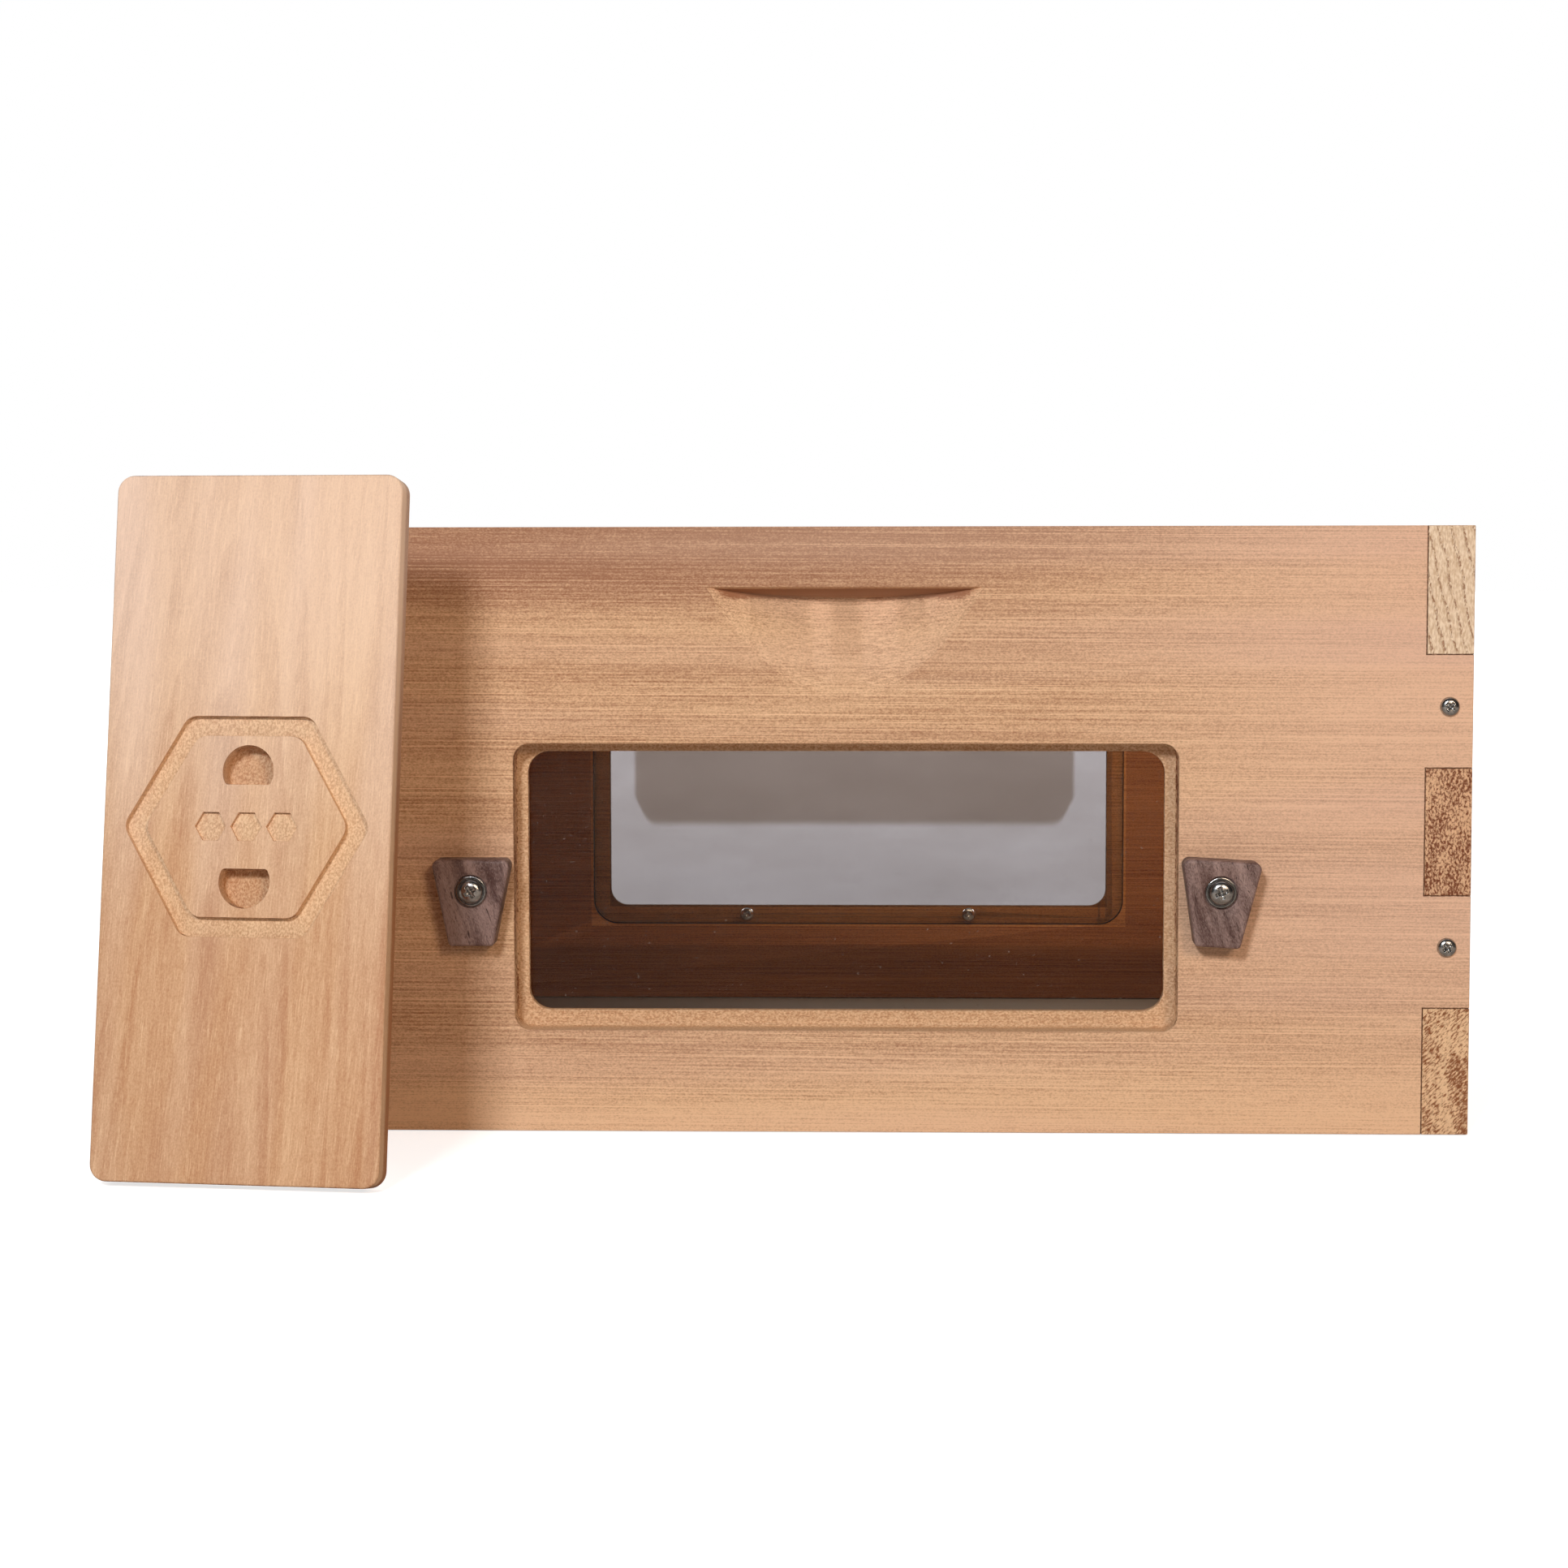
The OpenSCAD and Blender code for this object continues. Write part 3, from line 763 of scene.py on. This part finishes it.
def shutter_rules(place):
    """Which edges of a shutter are eased, and how much."""
    back = place.inverted()

    def local(p):
        return back @ (p / 1000) * 1000

    def at_depth(p, depth):
        return abs(local(p).y - (depth - SHUTTER_HALF_T)) < 0.05

    def rim(p, edge):
        q = local(p)
        return at_depth(p, 0) and (abs(q.x) > SHUTTER_HALF_L - 7 or abs(q.z) > SHUTTER_HALF_W - 7.5)

    def back_rim(p, edge):
        return at_depth(p, 2 * SHUTTER_HALF_T)

    def groove_rim(p, edge):
        return at_depth(p, 0)

    def pocket_floor(p, edge):
        return at_depth(p, POCKET_DEPTH)

    def groove_floor(p, edge):
        return at_depth(p, GROOVE_DEPTH)

    return [(1.0, 4, rim), (1.0, 3, back_rim), (1.4, 4, pocket_floor), (0.6, 3, groove_floor),
            (0.15, 2, groove_rim)]


for node, seed, pith in (("front_window_shutter", 31, (-60, 18)), ("back_window_shutter", 32, (-75, -20))):
    place = shutter_frame(node)
    material = wood(node + "_wood", PALE, pith, 5.0, seed, line=0.22, slope=(0.06, 0.07), wander=12.0,
                    fine=0.5, band=0.5, routed=shutter_routing, shade=shutter_shade, ends=PLAIN_ENDS)
    soften(node, node + "_piece", node, material, place, shutter_rules(place))


# ------------------------------------------------------- turn buttons, screws


def latch_outline(inset):
    """Points round a turn button seen from outside, in mm from its screw, in step with the normal's angle."""
    # (x, z, radius) of the round corners; they sit a little further in than their radius, as the sides slant
    corners = [(side * (LATCH_HALF_TOP - 3.2), LATCH_UP - 3.0, 3.0) for side in (-1, 1)]
    corners += [(side * (LATCH_HALF_FOOT - 1.9), 1.8 - LATCH_DOWN, 1.8) for side in (-1, 1)]
    points = []
    for i in range(ROUND):
        u = math.cos(2 * math.pi * i / ROUND)
        v = math.sin(2 * math.pi * i / ROUND)
        cx, cz, r = max(corners, key=lambda c: c[0] * u + c[1] * v + c[2])
        points.append((cx + (r - inset) * u, cz + (r - inset) * v))
    return points


def latch_piece(node, seed):
    """A turn button with eased edges, a counterbore for its washer and a bore.

    Its skin is a closed loop of rings, in through the bore and back round the outside.
    """
    low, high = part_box(node)
    outward = -1 if low.y < 0 else 1
    wall = high.y if outward < 0 else low.y
    pivot = Vector((math.copysign(LATCH_X * MM, low.x), wall, LATCH_Z * MM))
    # this one is left a little askew
    turn = math.radians(3.35) if node == "front_right_latch" else 0.0
    place = Matrix.Translation(pivot) @ Matrix.Rotation(turn, 4, "Y")
    thick = abs(high.y - low.y) * 1000
    rings = [("outline", 0.5, 0.0), ("outline", 0.15, 0.15), ("outline", 0.0, 0.5)]
    soft = 1.3
    for k in range(6):
        a = math.pi / 2 * k / 5
        rings.append(("outline", soft * (1 - math.cos(a)), thick - soft + soft * math.sin(a)))
    rings += [("bore", LATCH_SINK_R + 0.25, thick), ("bore", LATCH_SINK_R + 0.07, thick - 0.08),
              ("bore", LATCH_SINK_R, thick - 0.3), ("bore", LATCH_SINK_R, thick - LATCH_SINK),
              ("bore", LATCH_BORE_R, thick - LATCH_SINK), ("bore", LATCH_BORE_R, 0.0)]
    bm = bmesh.new()
    loops = []
    for kind, size, depth in rings:
        if kind == "outline":
            points = latch_outline(size)
        else:
            angles = [2 * math.pi * i / ROUND for i in range(ROUND)]
            points = [(size * math.cos(a), size * math.sin(a)) for a in angles]
        loops.append([bm.verts.new(place @ Vector((px * MM, outward * depth * MM, pz * MM)))
                      for px, pz in points])
    for one, two in zip(loops, loops[1:] + loops[:1]):
        for i in range(ROUND):
            j = (i + 1) % ROUND
            bm.faces.new((one[i], one[j], two[j], two[i]))
    bmesh.ops.remove_doubles(bm, verts=bm.verts, dist=1e-6)
    bmesh.ops.recalc_face_normals(bm, faces=bm.faces)
    # the piece's own X, which its grain follows, points nearly straight up
    upright = place @ Matrix.Rotation(math.radians(-80), 4, "Y")
    bmesh.ops.transform(bm, matrix=upright.inverted(), verts=bm.verts)
    mesh = bpy.data.meshes.new(node + "_piece")
    bm.to_mesh(mesh)
    bm.free()
    piece = link(node + "_piece", mesh, upright, walnut(node + "_wood", seed), node)
    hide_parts(node)


for node, seed in (("front_left_latch", 3), ("front_right_latch", 8), ("back_left_latch", 13),
                   ("back_right_latch", 18)):
    latch_piece(node, seed)


def screw_set(node, head_h, shank_share, seed, bright=0.5):
    """Turned and threaded screws that stand for a CAD node of them.

    head_h is the head's height in mm, shank_share the shank's radius as a share of the head's, and bright
    the steel's lightness.
    """
    dice = random.Random(seed)
    bm = bmesh.new()
    for low, high in solids(node):
        size = high - low
        axis = max(range(3), key=lambda k: size[k])
        middle = (low + high) / 2
        centre = Vector(middle)
        across = [k for k in range(3) if k != axis]
        head_r = size[across[0]] / 2
        # the head is at the end nearer the outside, or nearer the cavity for a pane screw
        sign = (1 if middle[axis] > 0 else -1) * (-1 if "pane" in node else 1)
        out = Vector((0, 0, 0))
        out[axis] = sign
        end = high[axis] if sign > 0 else low[axis]
        centre[axis] = end - sign * head_h * MM
        length = size[axis] - head_h * MM
        screw(bm, facing(centre, out), head_r, head_h * MM, head_r * shank_share, length,
              dice.uniform(0.2, 1.3))
    bmesh.ops.recalc_face_normals(bm, faces=bm.faces)
    mesh = bpy.data.meshes.new(node + "_piece")
    bm.to_mesh(mesh)
    bm.free()
    metal = steel(node + "_steel", seed, (bright, bright * 0.98, bright * 0.96, 1.0))
    piece = link(node + "_piece", mesh, IDENTITY, metal, "hive_body")
    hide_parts(node)


# the pane screws' steel is painted lighter, as painted light, since they are lit dimly behind the panes
screw_set("front_pane_screws", 2.0, 1.5 / 3.6, 1, 0.95)
screw_set("back_pane_screws", 2.0, 1.5 / 3.6, 2, 0.95)
screw_set("front_corner_screws", 2.2, 1.9 / 4, 3)
screw_set("back_corner_screws", 2.2, 1.9 / 4, 4)
screw_set("front_latch_screws", 2.6, 2 / 5.1, 7)
screw_set("back_latch_screws", 2.6, 2 / 5.1, 8)

for node, seed in (("front_latch_washers", 11), ("back_latch_washers", 12)):
    bm = bmesh.new()
    for low, high in solids(node):
        outer = (high.x - low.x) / 2
        inner = LATCH_BORE_R * MM
        thick = high.y - low.y
        out = -1 if low.y < 0 else 1
        centre = (low + high) / 2
        centre.y = high.y if out < 0 else low.y
        soft = 0.28 * MM
        dish = thick - 0.2 * MM
        profile = [(inner, 0), (outer - soft, 0), (outer - soft * 0.3, soft * 0.3), (outer, soft),
                   (outer, thick - soft), (outer - soft * 0.3, thick - soft * 0.3),
                   (outer - soft, thick), (outer - 0.7 * MM, thick), (outer - 0.95 * MM, dish),
                   (inner + soft, dish), (inner, thick - 0.4 * MM), (inner, 0)]
        turned(bm, profile, 72, facing(centre, (0, out, 0)))
    bmesh.ops.remove_doubles(bm, verts=bm.verts, dist=1e-7)
    bmesh.ops.recalc_face_normals(bm, faces=bm.faces)
    mesh = bpy.data.meshes.new(node + "_piece")
    bm.to_mesh(mesh)
    bm.free()
    dull = steel(node + "_steel", seed, (0.3, 0.295, 0.29, 1.0))
    piece = link(node + "_piece", mesh, IDENTITY, dull, "hive_body")
    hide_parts(node)


# ------------------------------------------------------------------ the panes


def tint_and_painted_reflection(g, x, y, z):
    """The back sheet's tint: grey over the opening, and browner over its upper part, with round corners.

    The browner upper part is a painted reflection.
    """
    wide = g.ramp(g.math("ABSOLUTE", x), OPENING_HALF_L + 0.2, OPENING_HALF_L - 0.2)
    from_middle = g.math("ABSOLUTE", g.math("SUBTRACT", z, OPENING_Z))
    tall = g.ramp(from_middle, OPENING_HALF_H + 0.2, OPENING_HALF_H - 0.2)
    off = g.math("ABSOLUTE", g.math("SUBTRACT", x, -2.0))
    side = g.ramp(off, 117.0, 114.0)
    bend = g.math("POWER", g.ramp(off, 100.0, 117.0), 3.0)
    # painted reflection: the upper part of the opening is made browner
    upper = g.math("MULTIPLY", side, g.ramp(g.math("MULTIPLY_ADD", bend, -14.0, z), 90.0, 95.0))
    grey = g.mix(upper, (0.613, 0.597, 0.615, 1), (0.456, 0.411, 0.394, 1))
    return g.mix(g.math("MULTIPLY", wide, tall), (1, 1, 1, 1), grey)


# the back sheet's tint holds a painted reflection over its upper part
for node, seed, passing, stain in (("front_window_pane", 1, 0.8, None),
                                   ("back_window_pane", 2, 0.95, tint_and_painted_reflection)):
    sheet = clear_sheet(node + "_sheet", seed, passing, stain)
    soften(node, node + "_piece", "hive_body", sheet, IDENTITY,
           [(0.3, 2, lambda p, edge: edge.calc_length() > 0.0012)])


# ------------------------------------------------------ floor, light, camera


def stage_floor():
    """Plain pale paper that the camera sees as white, with the object's soft shadow on it."""
    mesh = bpy.data.meshes.new("floor")
    bm = bmesh.new()
    bmesh.ops.create_grid(bm, x_segments=4, y_segments=4, size=12)
    bm.to_mesh(mesh)
    bm.free()
    floor = bpy.data.objects.new("floor", mesh)
    bpy.context.scene.collection.objects.link(floor)
    floor.location.z = CAD_BOX[0][2] - 0.0004
    g = Graph("floor_paper")
    here = g.node("TexCoord").outputs["Object"]
    mottle = g.noise(here, (0.9, 0.9, 0.9), 2)
    colour = g.mix(g.ramp(mottle, 0.2, 0.8), (0.83, 0.83, 0.83, 1), (0.86, 0.86, 0.86, 1))
    # the camera sees white paper; the light that it throws back up at the wood is dimmer and warmer
    direct = g.node("LightPath").outputs["Is Camera Ray"]
    colour = g.mix(direct, (0.6, 0.54, 0.48, 1), colour)
    # the patch inside the body is painted dark, as painted shade, and has no glow; its edge is hidden under
    # the boards
    hidden = 12.0
    x, y, z = g.split(here)
    inside = g.math("MULTIPLY",
                    g.math("LESS_THAN", g.math("ABSOLUTE", x), (JOINT_X + hidden) * MM),
                    g.math("LESS_THAN", g.math("ABSOLUTE", y), (JOINT_Y + hidden) * MM))
    colour = g.mix(g.math("MULTIPLY", inside, 0.5), colour, (0.1, 0.08, 0.07, 1))
    shader = g.node("BsdfPrincipled", Base_Color=colour, Roughness=0.7)
    shader.inputs["Specular IOR Level"].default_value = 0.2
    shader.inputs["Emission Color"].default_value = (1, 1, 1, 1)
    far = g.ramp(g.node("VectorMath", {"operation": "LENGTH"}, Vector=here).outputs["Value"], 0.7, 3.0)
    glow = g.math("MULTIPLY", g.math("MULTIPLY_ADD", far, 0.54, 0.72), g.math("SUBTRACT", 1.0, inside))
    g.feed(shader.inputs["Emission Strength"], g.math("MULTIPLY", direct, glow))
    mesh.materials.append(g.finish(shader.outputs[0]))


def soft_light(name, at, towards, width, depth, watts, tint=(1, 1, 1)):
    """A rectangular lamp that the camera can't see, looking from one point towards another."""
    lamp = bpy.data.lights.new(name, "AREA")
    lamp.shape = "RECTANGLE"
    lamp.size, lamp.size_y = width, depth
    lamp.energy = watts
    lamp.color = tint
    holder = bpy.data.objects.new(name, lamp)
    bpy.context.scene.collection.objects.link(holder)
    holder.location = at
    holder.rotation_euler = (Vector(towards) - Vector(at)).to_track_quat("-Z", "Y").to_euler()
    holder.visible_camera = False


stage_floor()
soft_light("key", (-0.6, -2.5, 1.3), (0, -0.2, 0.1), 0.4, 0.36, 36.5, (0.93, 0.97, 1.0))
soft_light("right_fill", (0.92, -2.45, 1.1), (0, -0.1, 0.1), 0.6, 0.6, 20, (1.0, 0.77, 0.57))
soft_light("overhead", (0.0, 0.4, 2.4), (0, 0.1, 0), 2.4, 1.6, 11)
soft_light("back_left", (-1.9, 1.9, 1.5), (0, 0.1, 0.1), 1.2, 1.2, 24)
soft_light("back_right", (1.9, 1.7, 1.3), (0, 0.1, 0.1), 1.2, 1.2, 20)
# stands in for daylight that reaches the cavity; it looks straight down and is above the windows' view
soft_light("cavity", (0.12, 0.06, 0.198), (0.12, 0.06, 0.0), 0.2, 0.1, 0.12, (1.0, 0.82, 0.58))

# the camera sees a white room, whose light on the object is dim
world = bpy.data.worlds.new("studio")
bpy.context.scene.world = world
world.use_nodes = True
world.node_tree.nodes.clear()
nodes, links = world.node_tree.nodes, world.node_tree.links
path = nodes.new("ShaderNodeLightPath")
seen = nodes.new("ShaderNodeBackground")
seen.inputs[0].default_value = (1, 1, 1, 1)
seen.inputs[1].default_value = 1.0
room = nodes.new("ShaderNodeBackground")
room.inputs[0].default_value = (1, 0.985, 0.97, 1)
room.inputs[1].default_value = 0.035
which = nodes.new("ShaderNodeMixShader")
out = nodes.new("ShaderNodeOutputWorld")
links.new(path.outputs["Is Camera Ray"], which.inputs[0])
links.new(room.outputs[0], which.inputs[1])
links.new(seen.outputs[0], which.inputs[2])
links.new(which.outputs[0], out.inputs[0])

lens = bpy.data.cameras.new("camera")
lens.lens = 76.0
lens.sensor_width = 36.0
lens.clip_start = 0.01
lens.clip_end = 60.0
camera = bpy.data.objects.new("camera", lens)
bpy.context.scene.collection.objects.link(camera)
camera.location = (0.023, -1.5514, 0.2457)
camera.rotation_euler = (math.radians(90) - 0.0759, 0.0019, 0.0354)
bpy.context.scene.camera = camera
bpy.context.scene.view_settings.view_transform = "Standard"
